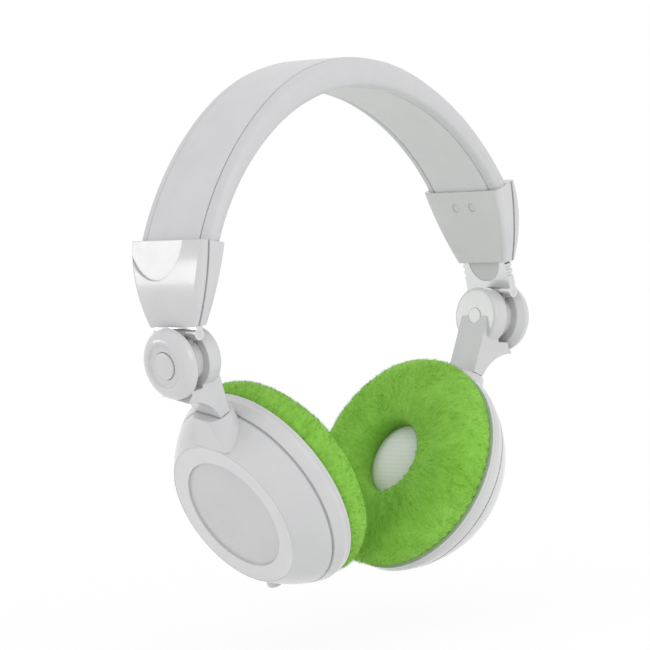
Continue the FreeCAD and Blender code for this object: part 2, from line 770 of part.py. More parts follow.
def one_side(name, pose, band):
    pieces = dict(caps(band))
    pieces.update(slider(pose["extension"]))
    hung, swung = posed(pose)
    link = hub_link()
    link.Placement = hung
    pieces["hub_link"] = link
    in_cup = Placement(Vector(-cup_inboard, 0, -cup_drop), Rotation(Y, cup_tilt - 90))
    arm = {"hanger_arm": hanger_arm(), "hub_cover": hub_cover(), "hinge_pin": hinge_pin(),
           "hub_washers": hub_washers(), "lock_button": lock_button(pose["button"])}
    arm.update(swivel_post())
    cup_parts = cup()
    if name == "left":
        socket, hole = audio_socket()
        cup_parts["cup_shell"] = cup_parts["cup_shell"].cut(hole)
        cup_parts["audio_socket"] = socket
    for key, solid in arm.items():
        solid.Placement = swung.multiply(solid.Placement)
        pieces[key] = solid
    for key, solid in cup_parts.items():
        solid.Placement = swung.multiply(in_cup).multiply(solid.Placement)
        pieces[key] = solid
    return pieces


def build():
    band = headband()
    parts = dict(band)
    for name, pose in poses.items():
        for key, solid in one_side(name, pose, band).items():
            if name == "left":
                solid = solid.mirror(centre, X)
            parts[name + "_" + key] = solid
    return parts


os.makedirs("parts", exist_ok=True)
for node, solid in build().items():
    solid.exportStep(os.path.join("parts", node + ".step"))
    print(node, len(solid.Solids), round(solid.Volume, 1), solid.isValid())
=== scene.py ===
import bisect
import bpy
import json
import math
import random
from mathutils import Matrix, Vector, noise


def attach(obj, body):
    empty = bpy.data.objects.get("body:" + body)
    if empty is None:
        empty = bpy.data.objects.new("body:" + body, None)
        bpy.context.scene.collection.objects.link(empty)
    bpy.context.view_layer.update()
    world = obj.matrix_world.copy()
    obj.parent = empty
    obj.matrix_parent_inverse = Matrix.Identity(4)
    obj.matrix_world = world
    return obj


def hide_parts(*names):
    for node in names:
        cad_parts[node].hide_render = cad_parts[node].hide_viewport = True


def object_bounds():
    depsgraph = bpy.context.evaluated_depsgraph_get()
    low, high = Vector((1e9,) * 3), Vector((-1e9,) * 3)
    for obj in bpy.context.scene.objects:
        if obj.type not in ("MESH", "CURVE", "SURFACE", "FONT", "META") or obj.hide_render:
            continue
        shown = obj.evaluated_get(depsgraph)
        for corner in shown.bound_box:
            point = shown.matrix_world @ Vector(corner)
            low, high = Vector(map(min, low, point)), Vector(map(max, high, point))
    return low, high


# Folding over-ear headphones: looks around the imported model. Metres throughout, mm = 0.001.
mm = 0.001
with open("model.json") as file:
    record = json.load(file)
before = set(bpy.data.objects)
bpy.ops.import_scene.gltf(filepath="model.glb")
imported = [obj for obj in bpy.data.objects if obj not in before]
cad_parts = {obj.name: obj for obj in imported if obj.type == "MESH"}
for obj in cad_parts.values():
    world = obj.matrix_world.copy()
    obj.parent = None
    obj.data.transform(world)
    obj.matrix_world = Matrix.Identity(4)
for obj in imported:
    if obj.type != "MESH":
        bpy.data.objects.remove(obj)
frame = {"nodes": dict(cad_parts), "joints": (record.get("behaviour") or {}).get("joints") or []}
cadLow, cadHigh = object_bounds()
nodes = frame["nodes"]
joints = {j["name"]: j for j in frame["joints"]}
sides = ("left", "right")
print("frame loaded:", len(nodes), "nodes")


# small tools

def linear(hexCode):
    # sRGB hex to the linear colour that a shader takes
    values = [int(hexCode[i:i + 2], 16) / 255 for i in (1, 3, 5)]
    return tuple(v / 12.92 if v <= 0.04045 else ((v + 0.055) / 1.055) ** 2.4 for v in values) + (1.0,)


def addNode(tree, kind, links=None, **settings):
    # one node with its settings; links maps an input to a value or to another node's output
    node = tree.nodes.new(kind)
    for key, value in settings.items():
        setattr(node, key, value)
    for key, value in (links or {}).items():
        if isinstance(value, bpy.types.NodeSocket):
            tree.links.new(value, node.inputs[key])
        else:
            node.inputs[key].default_value = value
    return node


def newMaterial(name):
    material = bpy.data.materials.new(name)
    material.use_nodes = True
    tree = material.node_tree
    return material, tree, tree.nodes["Principled BSDF"]


def setSockets(shader, **values):
    for key, value in values.items():
        shader.inputs[key.replace("_", " ")].default_value = value


def dress(node, material):
    mesh = nodes[node].data
    mesh.materials.clear()
    mesh.materials.append(material)


def dressBoth(name, material):
    for side in sides:
        dress(side + "_" + name, material)


def meshPiece(name, points, faces, material, body, smooth=True):
    mesh = bpy.data.meshes.new(name)
    mesh.from_pydata([tuple(p) for p in points], [], faces)
    mesh.update()
    mesh.materials.append(material)
    mesh.polygons.foreach_set("use_smooth", [smooth] * len(mesh.polygons))
    piece = bpy.data.objects.new(name, mesh)
    bpy.context.scene.collection.objects.link(piece)
    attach(piece, body)
    return piece


def circleThrough(start, middle, end):
    (ax, ay), (bx, by), (cx, cy) = start, middle, end
    d = 2 * (ax * (by - cy) + bx * (cy - ay) + cx * (ay - by))
    a2, b2, c2 = ax * ax + ay * ay, bx * bx + by * by, cx * cx + cy * cy
    centre = ((a2 * (by - cy) + b2 * (cy - ay) + c2 * (ay - by)) / d,
              (a2 * (cx - bx) + b2 * (ax - cx) + c2 * (bx - ax)) / d)
    return centre, math.hypot(ax - centre[0], ay - centre[1])


def arcPoints(start, middle, end, count):
    # points on the arc through three 2-D points, without the last
    (ux, uy), radius = circleThrough(start, middle, end)
    first = math.atan2(start[1] - uy, start[0] - ux)
    mid = (math.atan2(middle[1] - uy, middle[0] - ux) - first) % math.tau
    last = (math.atan2(end[1] - uy, end[0] - ux) - first) % math.tau
    if mid > last:
        last -= math.tau
    steps = [first + last * i / count for i in range(count)]
    return [(ux + radius * math.cos(t), uy + radius * math.sin(t)) for t in steps]


def straight(start, end, count):
    return [(start[0] + (end[0] - start[0]) * i / count, start[1] + (end[1] - start[1]) * i / count)
            for i in range(count)]


# materials

def mixColour(tree, factor, first, second):
    # sockets of a colour mix by number: 0 the factor, 6 and 7 the colours, output 2 the result
    mix = addNode(tree, "ShaderNodeMix", data_type="RGBA")
    tree.links.new(factor, mix.inputs[0])
    for value, socket in ((first, mix.inputs[6]), (second, mix.inputs[7])):
        if isinstance(value, bpy.types.NodeSocket):
            tree.links.new(value, socket)
        else:
            socket.default_value = value
    return mix.outputs[2]


def plastic(name, colour, darker, roughness, grainSize=0.35 * mm, grainStrength=0.04, edge=0.25 * mm,
            coat=0.0):
    # moulded plastic: a fine grain, slow patches of tone, and arrises rounded by edge
    material, tree, shader = newMaterial(name)
    setSockets(shader, Roughness=roughness, IOR=1.53, Coat_Weight=coat, Coat_Roughness=0.08)
    place = addNode(tree, "ShaderNodeTexCoord")
    rounded = addNode(tree, "ShaderNodeBevel", {"Radius": edge}, samples=6)
    fine = addNode(tree, "ShaderNodeTexNoise", {"Vector": place.outputs["Object"],
                                                "Scale": 1 / grainSize, "Detail": 2.0})
    bump = addNode(tree, "ShaderNodeBump", {"Height": fine.outputs["Fac"], "Strength": grainStrength,
                                            "Distance": 0.05 * mm, "Normal": rounded.outputs["Normal"]})
    tree.links.new(bump.outputs["Normal"], shader.inputs["Normal"])
    slow = addNode(tree, "ShaderNodeTexNoise", {"Vector": place.outputs["Object"], "Scale": 1 / (22 * mm),
                                                "Detail": 4.0, "Roughness": 0.6})
    share = addNode(tree, "ShaderNodeMapRange", {"Value": slow.outputs["Fac"], "From Min": 0.4,
                                                 "From Max": 0.72})
    tree.links.new(mixColour(tree, share.outputs["Result"], linear(colour), linear(darker)),
                   shader.inputs["Base Color"])
    # handling leaves the gloss uneven
    smear = addNode(tree, "ShaderNodeTexNoise", {"Vector": place.outputs["Object"], "Scale": 1 / (9 * mm),
                                                 "Detail": 5.0, "Roughness": 0.65})
    gloss = addNode(tree, "ShaderNodeMapRange", {"Value": smear.outputs["Fac"], "From Min": 0.3,
                                                 "From Max": 0.7, "To Min": roughness - 0.03,
                                                 "To Max": roughness + 0.05})
    tree.links.new(gloss.outputs["Result"], shader.inputs["Roughness"])
    return material


# painted ABS, injection moulded: an even pale grey with a soft gloss and rounded arrises
paintedAbs = plastic("paintedAbs", "#C9C9CA", "#C4C4C6", 0.2, edge=0.45 * mm, coat=0.3)
# the same ABS with a finer finish on the flat back discs: a little darker and calmer
satinAbs = plastic("satinAbs", "#C6C6C7", "#C1C1C3", 0.38)
# the ring's lighter grey is a painted highlight, standing in for the light the ring catches, so it reads as its
# own part
ringHighlightAbs = plastic("ringHighlightAbs", "#D2D2D3", "#CDCDCF", 0.34, coat=0.2)
# glass-filled nylon inner mouldings: duller and darker
filledNylon = plastic("filledNylon", "#B9B9BB", "#B0B0B2", 0.55, grainSize=0.5 * mm, grainStrength=0.12)
# natural acetal washers: waxy off-white
naturalAcetal = plastic("naturalAcetal", "#DAD9D4", "#D2D1CB", 0.45)


def steel(name, colour, roughness, along=(1.0, 1.0, 1.0), lineSize=0.12 * mm, strength=0.12):
    # metal: the colour is the reflection; fine lines left by brushing or turning
    material, tree, shader = newMaterial(name)
    setSockets(shader, Base_Color=linear(colour), Metallic=1.0, Roughness=roughness)
    place = addNode(tree, "ShaderNodeTexCoord")
    stretch = addNode(tree, "ShaderNodeMapping", {"Vector": place.outputs["Object"], "Scale": along})
    lines = addNode(tree, "ShaderNodeTexNoise", {"Vector": stretch.outputs["Vector"], "Scale": 1 / lineSize,
                                                 "Detail": 3.0})
    rounded = addNode(tree, "ShaderNodeBevel", {"Radius": 0.15 * mm}, samples=4)
    bump = addNode(tree, "ShaderNodeBump", {"Height": lines.outputs["Fac"], "Strength": strength,
                                            "Distance": 0.02 * mm, "Normal": rounded.outputs["Normal"]})
    tree.links.new(bump.outputs["Normal"], shader.inputs["Normal"])
    gloss = addNode(tree, "ShaderNodeMapRange", {"Value": lines.outputs["Fac"], "From Min": 0.3,
                                                 "From Max": 0.7, "To Min": roughness - 0.05,
                                                 "To Max": roughness + 0.07})
    tree.links.new(gloss.outputs["Result"], shader.inputs["Roughness"])
    return material


# stamped and brushed spring steel of the slider: bright edge, long vertical lines
brushedSteel = steel("brushedSteel", "#DCDCDD", 0.32, along=(1.0, 1.0, 0.04))
# turned pins and plated screws: bright and small
turnedSteel = steel("turnedSteel", "#D6D6D8", 0.25)
# nickel on the magnet
nickelPlate = steel("nickelPlate", "#C9C6C0", 0.3)


def leatherette(name, colour, darker, roughness):
    # PU-coated knit: a pebbled grain about 0.8 mm across under a soft sheen
    material, tree, shader = newMaterial(name)
    setSockets(shader, Roughness=roughness, IOR=1.5, Sheen_Weight=0.08, Sheen_Roughness=0.5)
    place = addNode(tree, "ShaderNodeTexCoord")
    pebble = addNode(tree, "ShaderNodeTexVoronoi", {"Vector": place.outputs["Object"], "Scale": 1 / (0.8 * mm)},
                     feature="DISTANCE_TO_EDGE")
    crease = addNode(tree, "ShaderNodeMapRange", {"Value": pebble.outputs["Distance"], "From Min": 0.0,
                                                  "From Max": 0.18})
    folds = addNode(tree, "ShaderNodeTexNoise", {"Vector": place.outputs["Object"], "Scale": 1 / (7 * mm),
                                                 "Detail": 5.0, "Roughness": 0.6})
    fine = addNode(tree, "ShaderNodeBump", {"Height": crease.outputs["Result"], "Strength": 0.10,
                                            "Distance": 0.05 * mm})
    both = addNode(tree, "ShaderNodeBump", {"Height": folds.outputs["Fac"], "Strength": 0.35,
                                            "Distance": 0.5 * mm, "Normal": fine.outputs["Normal"]})
    tree.links.new(both.outputs["Normal"], shader.inputs["Normal"])
    tone = mixColour(tree, folds.outputs["Fac"], linear(colour), linear(darker))
    # painted shade: the grain's crevices between the pebbles are darkened in the colour
    creviceShade = mixColour(tree, crease.outputs["Result"], linear(darker), tone)
    tree.links.new(creviceShade, shader.inputs["Base Color"])
    gloss = addNode(tree, "ShaderNodeMapRange", {"Value": folds.outputs["Fac"], "To Min": roughness - 0.08,
                                                 "To Max": roughness + 0.1})
    tree.links.new(gloss.outputs["Result"], shader.inputs["Roughness"])
    return material


bandLeatherette = leatherette("bandLeatherette", "#CBCBCC", "#C2C2C4", 0.42)
liningLeatherette = leatherette("liningLeatherette", "#D4D4D6", "#CBCBCD", 0.48)
# the top strip is a smoother polyurethane film over foam: calm, a little glossier
stripFilm = plastic("stripFilm", "#C9C9CB", "#C3C3C5", 0.33, grainSize=0.9 * mm, grainStrength=0.10,
                    edge=0.4 * mm)


def velour():
    # knitted polyester velour: short upright pile. Its lighter streaks are a painted sheen where the pile would
    # lean to the light, and its darker streaks a painted shade where it leans away.
    # napPlace runs round the cup and, more slowly, across the pad, so the streaks follow the brushing
    material, tree, shader = newMaterial("velourPile")
    setSockets(shader, Roughness=0.92, IOR=1.45, Sheen_Weight=0.6, Sheen_Roughness=0.4,
               Sheen_Tint=linear("#C8F08E"), Specular_IOR_Level=0.2)
    place = addNode(tree, "ShaderNodeTexCoord")
    brushed = addNode(tree, "ShaderNodeAttribute", attribute_name="napPlace")
    patches = addNode(tree, "ShaderNodeTexNoise", {"Vector": place.outputs["Object"], "Scale": 1 / (17 * mm),
                                                   "Detail": 3.0, "Roughness": 0.55, "Distortion": 0.8})
    streaks = addNode(tree, "ShaderNodeTexNoise", {"Vector": brushed.outputs["Vector"], "Scale": 1 / (2.1 * mm),
                                                   "Detail": 4.0, "Roughness": 0.62, "Distortion": 1.3})
    pile = addNode(tree, "ShaderNodeTexNoise", {"Vector": brushed.outputs["Vector"], "Scale": 1 / (0.8 * mm),
                                                "Detail": 2.0, "Roughness": 0.6})
    level = addNode(tree, "ShaderNodeMapRange", {"Value": patches.outputs["Fac"], "From Min": 0.32,
                                                 "From Max": 0.68})
    fine = addNode(tree, "ShaderNodeMapRange", {"Value": streaks.outputs["Fac"], "From Min": 0.38,
                                                "From Max": 0.72, "To Max": 0.34})
    deep = addNode(tree, "ShaderNodeMapRange", {"Value": streaks.outputs["Fac"], "From Min": 0.46,
                                                "From Max": 0.28, "To Max": 0.3})
    tone = mixColour(tree, level.outputs["Result"], linear("#74AE39"), linear("#88C24D"))
    # painted sheen and painted shade: lighter and darker streaks of the pile, put into the colour
    tone = mixColour(tree, fine.outputs["Result"], tone, linear("#A0D664"))
    tone = mixColour(tree, deep.outputs["Result"], tone, linear("#5F982A"))
    tree.links.new(tone, shader.inputs["Base Color"])
    coarse = addNode(tree, "ShaderNodeBump", {"Height": streaks.outputs["Fac"], "Strength": 0.5,
                                              "Distance": 0.6 * mm})
    fuzz = addNode(tree, "ShaderNodeBump", {"Height": pile.outputs["Fac"], "Strength": 0.5,
                                            "Distance": 0.3 * mm, "Normal": coarse.outputs["Normal"]})
    tree.links.new(fuzz.outputs["Normal"], shader.inputs["Normal"])
    return material


velourPile = velour()


def scrimCloth():
    # plain-woven acoustic cloth: threads every 0.5 mm, drawn about three times coarser so that they show
    material, tree, shader = newMaterial("acousticScrim")
    setSockets(shader, Roughness=0.85, IOR=1.45, Sheen_Weight=0.1)
    pitch = 1.58 * mm
    # a wave texture repeats every tau / 20 of its scaled input
    scale = math.tau / (20 * pitch)
    place = addNode(tree, "ShaderNodeTexCoord")
    across = addNode(tree, "ShaderNodeTexWave", {"Vector": place.outputs["Object"], "Scale": scale},
                     wave_type="BANDS", bands_direction="Y")
    along = addNode(tree, "ShaderNodeTexWave", {"Vector": place.outputs["Object"], "Scale": scale},
                    wave_type="BANDS", bands_direction="Z")
    weave = addNode(tree, "ShaderNodeMath", {0: across.outputs["Fac"], 1: along.outputs["Fac"]},
                    operation="MULTIPLY")
    # painted light: the cloth's near-white tone is lighter than its own grey, to make up for the shade inside
    # the hole
    tone = mixColour(tree, weave.outputs["Value"], linear("#E4E4E4"), linear("#EDEDED"))
    tree.links.new(tone, shader.inputs["Base Color"])
    bump = addNode(tree, "ShaderNodeBump", {"Height": weave.outputs["Value"], "Strength": 0.3,
                                            "Distance": 0.15 * mm})
    tree.links.new(bump.outputs["Normal"], shader.inputs["Normal"])
    return material


acousticScrim = scrimCloth()
# clear polyester film of the diaphragm, seen only when the cup is open
filmDome = plastic("filmDome", "#C8C8C4", "#BFBFBA", 0.2)
print("materials made")


# headband: the arch's two faces, each a chain of three tangent arcs, as the real band is bent

band = {
    "width": 39.4 * mm, "crown": 12.2 * mm, "end": 8.0 * mm, "drop": 46.1 * mm, "halfSpan": 80.8 * mm,
    "shoulder": 30.0, "mouth": 64.4, "tuck": 4.0 * mm,
    "panelWidth": 30.0 * mm, "linerWidth": 31.0 * mm, "inset": 0.4 * mm, "roll": 2.6 * mm,
    "stations": 220,
}
# cross-sections: a lip beside each strip's seat and rolled long edges; the strips' shoulders
padEdge = {"panelSeat": 1.4 * mm, "linerSeat": 2.4 * mm, "lipDrop": 0.5 * mm, "lipWidth": 0.7 * mm,
           "lipMiddle": 0.2 * mm, "fall": 0.12 * mm, "rollIn": 0.75 * mm, "rollDown": 0.95 * mm,
           "bulge": 0.35 * mm}
panelEdge = {"gap": 0.25 * mm, "foot": 1.45 * mm, "lift": 0.10 * mm, "shoulder": 0.35 * mm,
             "flat": 0.8 * mm, "bendIn": 0.2 * mm, "bendDown": 0.12 * mm}
linerEdge = {"gap": 0.3 * mm, "roof": 2.35 * mm, "wall": 0.9 * mm, "bend": 0.35 * mm, "flat": 1.2 * mm,
             "rise": 0.12 * mm, "halfwayRise": 0.03 * mm}
foamRipple = {"height": 0.10 * mm, "perRadian": 8, "width": 14 * mm, "through": 1.5}
liningCrease = {"height": 0.14 * mm, "perRadian": 26, "width": 30 * mm, "seed": 4.0}


def archPoint(crownDepth, endDepth, degrees):
    shoulder, mouth = math.radians(band["shoulder"]), math.radians(band["mouth"])
    s1, c1, s2, c2 = math.sin(shoulder), math.cos(shoulder), math.sin(mouth), math.cos(mouth)
    crown = band["crown"] - crownDepth
    endX = band["halfSpan"] - endDepth * s2
    drop = crown + band["drop"] + endDepth * c2
    share = s1 * (c1 - c2) - (1 - c1) * (s2 - s1)
    crownRadius = (endX * (c1 - c2) - drop * (s2 - s1)) / share
    sideRadius = (drop * s1 - endX * (1 - c1)) / share
    turn = math.radians(degrees)
    middle = Vector((0, 0, crown - crownRadius))
    if abs(degrees) <= band["shoulder"]:
        return middle + crownRadius * Vector((math.sin(turn), 0, math.cos(turn)))
    lean = math.copysign(shoulder, degrees)
    middle += (crownRadius - sideRadius) * Vector((math.sin(lean), 0, math.cos(lean)))
    return middle + sideRadius * Vector((math.sin(turn), 0, math.cos(turn)))


def endAngle():
    # the angle at which the outer face has run as far into the cap as the band does, by halving
    low, high = band["mouth"], band["mouth"] + 12
    for _ in range(30):
        angle = (low + high) / 2
        deep = archPoint(0, 0, angle).z < -band["drop"] - band["tuck"]
        low, high = (low, angle) if deep else (angle, high)
    return low


def sweptBand(name, section, material, ripple=None):
    # section(thickness) gives (across, height over the inner face) points, closed
    last = endAngle()
    count = band["stations"]
    points, rings = [], []
    for i in range(count + 1):
        angle = -last + 2 * last * i / count
        outer, inner = archPoint(0, 0, angle), archPoint(band["crown"], band["end"], angle)
        thick = (outer - inner).length
        lift = (outer - inner).normalized()
        ring = []
        for y, h in section(thick):
            point = inner + lift * h + Vector((0, y, 0))
            if ripple:
                point += lift * ripple(angle, y, h / thick)
            ring.append(len(points))
            points.append(point)
        rings.append(ring)
    size = len(rings[0])
    faces = [(a[k], a[(k + 1) % size], b[(k + 1) % size], b[k]) for a, b in zip(rings, rings[1:])
             for k in range(size)]
    faces += [tuple(reversed(rings[0])), tuple(rings[-1])]
    return meshPiece(name, points, faces, material, "headband")


def mirrored(side, height):
    # the half section, its middle point, and the other half
    return side + [(0, height)] + [(-y, h) for y, h in reversed(side[1:])]


def paddingSection(thick):
    e = padEdge
    half, panel, liner = band["width"] / 2, band["panelWidth"] / 2, band["linerWidth"] / 2
    top, low, roll = thick - band["inset"], band["inset"], band["roll"]
    panelSeat, linerSeat = thick - e["panelSeat"], e["linerSeat"]
    topRoll, lowRoll = (half - roll, top - e["fall"]), (half - roll, low + e["fall"])
    topLip, lowLip = (panel, top - e["lipDrop"]), (liner, low + e["lipDrop"])
    panelBrow, linerBrow = (panel + e["lipWidth"], top), (liner + e["lipWidth"], low)
    side = straight((0, panelSeat), (panel, panelSeat), 4)
    side += straight((panel, panelSeat), topLip, 2)
    side += arcPoints(topLip, (panel + e["lipMiddle"], top - e["fall"]), panelBrow, 3)
    side += straight(panelBrow, topRoll, 3)
    side += arcPoints(topRoll, (half - e["rollIn"], top - e["rollDown"]), (half, top - roll), 7)
    side += arcPoints((half, top - roll), (half + e["bulge"], thick / 2), (half, low + roll), 8)
    side += arcPoints((half, low + roll), (half - e["rollIn"], low + e["rollDown"]), lowRoll, 7)
    side += straight(lowRoll, linerBrow, 3)
    side += arcPoints(linerBrow, (liner + e["lipMiddle"], low + e["fall"]), lowLip, 3)
    side += straight(lowLip, (liner, linerSeat), 2)
    side += straight((liner, linerSeat), (0, linerSeat), 4)
    return mirrored(side, linerSeat)


def panelSection(thick):
    e = panelEdge
    half, foot, shoulder = band["panelWidth"] / 2 - e["gap"], thick - e["foot"], thick - e["shoulder"]
    brow = (half - e["flat"], thick)
    side = arcPoints((0, thick + e["lift"]), (half * 0.5, thick + 0.75 * e["lift"]), brow, 8)
    side += arcPoints(brow, (half - e["bendIn"], thick - e["bendDown"]), (half, shoulder), 5)
    side += straight((half, shoulder), (half, foot), 2)
    side += straight((half, foot), (0, foot), 4)
    return mirrored(side, foot)


def linerSection(thick):
    e = linerEdge
    half, roof = band["linerWidth"] / 2 - e["gap"], e["roof"]
    brow = (half - e["flat"], e["rise"])
    side = straight((0, roof), (half, roof), 4)
    side += straight((half, roof), (half, e["wall"]), 2)
    side += arcPoints((half, e["wall"]), (half - e["bend"], e["bend"]), brow, 5)
    side += arcPoints(brow, (half * 0.5, e["halfwayRise"]), (0, 0.0), 10)
    return mirrored(side, 0.0)


def softRipple(angle, y, share):
    # foam under a skin is never quite even
    r = foamRipple
    where = Vector((math.radians(angle) * r["perRadian"], y / r["width"], share * r["through"]))
    return r["height"] * noise.noise(where)


def liningRipple(angle, y, share):
    # the inside of the bend gathers the lining into faint creases across the band
    if share > 0.5:
        return 0.0
    c = liningCrease
    crease = noise.noise(Vector((math.radians(angle) * c["perRadian"], y / c["width"], c["seed"])))
    return c["height"] * crease * (1 - share) * max(0.0, math.cos(y / band["linerWidth"] * math.pi))


padding = sweptBand("bandPaddingSkin", paddingSection, bandLeatherette, softRipple)
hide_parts("band_padding")
strip = sweptBand("bandTopStrip", panelSection, stripFilm)
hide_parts("band_top_panel")
lining = sweptBand("bandLiningSkin", linerSection, liningLeatherette, liningRipple)
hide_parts("band_liner")
print("headband made")


# ear cushions

cup = {"collarTop": 44.6 * mm, "swivelBack": 12.6 * mm}
cushion = {
    "radius": 42.8 * mm, "height": 17.6 * mm, "seat": 3.2 * mm, "hole": 14.5 * mm, "base": 40.4 * mm,
    "ringHole": 35.0 * mm, "ringHeight": 1.4 * mm, "coverRadius": 15.6 * mm, "core": (29 * mm, 8 * mm),
    "around": 420, "stretch": 3 * mm, "lumps": 0.33 * mm, "lumpSize": 17 * mm, "lumpSeed": 7.0,
    "nap": 0.10 * mm, "napSize": 0.55 * mm, "napRound": 36 * mm, "napStretch": 3.2,
}
# the hem is gathered over its elastic into scallops, a little irregular
gather = {"scallops": 64, "depth": 0.88 * mm, "height": 2.6 * mm, "reach": 2.8 * mm, "stray": 0.6,
          "straySize": 12 * mm}
tuft = {"count": 22000, "length": 1.25 * mm, "width": 0.2 * mm, "shortest": 0.45, "sunk": 0.1 * mm,
        "brushed": 0.5, "back": 0.3, "scatter": 0.45, "twist": 0.3, "seeds": {"left": 11, "right": 12}}


def cupFrame(side):
    # the rim's centre and the cup's up, sideways and inward directions, from the joints
    up = Vector(joints[side + "_swivel"]["axis"]).normalized()
    outboard = Vector(joints[side + "_button_press"]["axis"]).normalized()
    inward = -(outboard - up * outboard.dot(up)).normalized()
    across = inward.cross(up)
    centre = Vector(joints[side + "_swivel"]["pos_m"]) - up * cup["collarTop"] + inward * cup["swivelBack"]
    return centre, up, across, inward


def smoothPath(corners, perSpan):
    # a Catmull-Rom curve through the corners, open, without its last point
    path = []
    ends = [corners[0]] + corners + [corners[-1]]
    for p0, p1, p2, p3 in zip(ends, ends[1:], ends[2:], ends[3:]):
        for i in range(perSpan):
            t = i / perSpan
            path.append(tuple(
                0.5 * (2 * b + (c - a) * t + (2 * a - 5 * b + 4 * c - d) * t * t
                       + (3 * b - a - 3 * c + d) * t ** 3)
                for a, b, c, d in zip(p0, p1, p2, p3)))
    return path


def cushionProfile():
    # (radius, height) in the cup's axes: hem, belly, crown, the hole's rolled edge and its wall, then
    # the underside round the ring that holds the hem; a little clear of the ring and of the cover
    c = cushion
    hem = c["ringHeight"] + 0.05 * mm
    root = (c["coverRadius"] + 0.3 * mm, c["seat"])
    skin = [
        (c["base"], hem), (41.9 * mm, 3.4 * mm), (c["radius"], 7.2 * mm), (41.5 * mm, 11.0 * mm),
        (38.4 * mm, 14.4 * mm), (33.8 * mm, 16.8 * mm), (28.2 * mm, c["height"]), (22.6 * mm, 17.4 * mm),
        (18.2 * mm, 16.7 * mm), (15.6 * mm, 15.6 * mm), (c["hole"], 13.8 * mm), (14.7 * mm, 10.5 * mm),
        (15.3 * mm, 6.8 * mm), root,
    ]
    points = smoothPath(skin, 9)
    points += straight(root, (c["ringHole"], c["seat"]), 8)
    points += straight((c["ringHole"], c["seat"]), (c["ringHole"], hem), 2)
    points += straight((c["ringHole"], hem), (c["base"], hem), 3)
    return points


def giveNap(piece, places):
    layer = piece.data.attributes.new("napPlace", "FLOAT_VECTOR", "POINT")
    layer.data.foreach_set("vector", [value for place in places for value in place])


def makeCushion(side):
    centre, up, across, inward = cupFrame(side)
    profile = cushionProfile()
    count = cushion["around"]
    coreRadius, coreHeight = cushion["core"]
    lumpShift = Vector((0, 0, cushion["lumpSeed"]))
    points, napPlaces = [], []
    along = [0.0]
    for (r0, h0), (r1, h1) in zip(profile, profile[1:]):
        along.append(along[-1] + math.hypot(r1 - r0, h1 - h0))
    for i in range(count):
        turn = math.tau * i / count
        ray = up * math.cos(turn) + across * math.sin(turn)
        napX, napY = cushion["napRound"] * math.cos(turn), cushion["napRound"] * math.sin(turn)
        for (r, h), length in zip(profile, along):
            napPlaces.append((napX, napY, length / cushion["napStretch"]))
            place = centre + ray * r + inward * h
            # the underside and the seam on the ring stay as they are
            underside = r < cushion["ringHole"] and h < cushion["seat"] + 0.01 * mm
            if underside or h < cushion["ringHeight"] + 0.1 * mm:
                points.append(place)
                continue
            outer = r > cushion["ringHole"] + 1 * mm
            near = max(0.0, 1 - abs(h - gather["height"]) / gather["reach"]) if outer else 0.0
            stray = gather["stray"] * noise.noise(place / gather["straySize"])
            fold = abs(math.sin(turn * gather["scallops"] / 2 + stray))
            pulled = -near * gather["depth"] * (1 - fold)
            skin = max(0.0, min(1.0, (h - cushion["ringHeight"]) / cushion["stretch"]))
            soft = cushion["lumps"] * noise.noise(place / cushion["lumpSize"] + lumpShift)
            fuzz = cushion["nap"] * noise.noise(place / cushion["napSize"])
            outward = (ray * (r - coreRadius) + inward * (h - coreHeight)).normalized()
            points.append(place + ray * pulled + outward * skin * (soft + fuzz))
    size = len(profile)
    faces = []
    for i in range(count):
        j = (i + 1) % count
        for k in range(size):
            n = (k + 1) % size
            faces.append((i * size + k, j * size + k, j * size + n, i * size + n))
    piece = meshPiece(side + "CushionVelour", points, faces, velourPile, side + "_cup")
    giveNap(piece, napPlaces)
    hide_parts(side + "_ear_cushion")
    return piece


def makePile(side, skin):
    # loose tufts standing out of the velour, so that its outline is soft
    centre, up, across, inward = cupFrame(side)
    chance = random.Random(tuft["seeds"][side])
    mesh = skin.data
    polygons, areas, total = [], [], 0.0
    for polygon in mesh.polygons:
        away = polygon.center - centre
        height = away.dot(inward)
        if height > cushion["seat"] * 0.8 and (away - inward * height).length > cushion["hole"]:
            polygons.append(polygon)
            total += polygon.area
            areas.append(total)
    nap = [Vector(entry.vector) for entry in mesh.attributes["napPlace"].data]
    points, faces, napPlaces = [], [], []
    for _ in range(tuft["count"]):
        polygon = polygons[bisect.bisect_left(areas, chance.random() * total)]
        corners = [mesh.vertices[i].co for i in polygon.vertices]
        weights = [chance.random() + 0.05 for _ in corners]
        shares = [weight / sum(weights) for weight in weights]
        root = sum((c * share for c, share in zip(corners, shares)), Vector())
        napPlaces += [tuple(nap[polygon.vertices[0]])] * 3
        normal = polygon.normal
        ray = root - centre
        ray -= inward * ray.dot(inward)
        # brushed from the hole out over the crown and down the side
        brushed = ray.normalized() - normal * ray.normalized().dot(normal) - inward * tuft["back"]
        scatter = Vector((chance.uniform(-1, 1), chance.uniform(-1, 1), chance.uniform(-1, 1)))
        lean = (normal + brushed * tuft["brushed"] + scatter * tuft["scatter"]).normalized()
        wide = lean.cross(normal + scatter * tuft["twist"]).normalized() * (tuft["width"] / 2)
        length = tuft["length"] * chance.uniform(tuft["shortest"], 1.0)
        foot = root - normal * tuft["sunk"]
        start = len(points)
        points += [foot - wide, foot + wide, root + lean * length]
        faces.append((start, start + 1, start + 2))
    piece = meshPiece(side + "CushionPile", points, faces, velourPile, side + "_cup", smooth=False)
    giveNap(piece, napPlaces)


for side in sides:
    makePile(side, makeCushion(side))
print("cushions made")


# acoustic cloth over foam in front of each driver, proud of its cover

cloth = {"radius": 15.2 * mm, "foot": 8.35 * mm, "rise": 2.6 * mm, "fullness": 3.2, "hem": 0.9 * mm,
         "rings": 14, "around": 96}


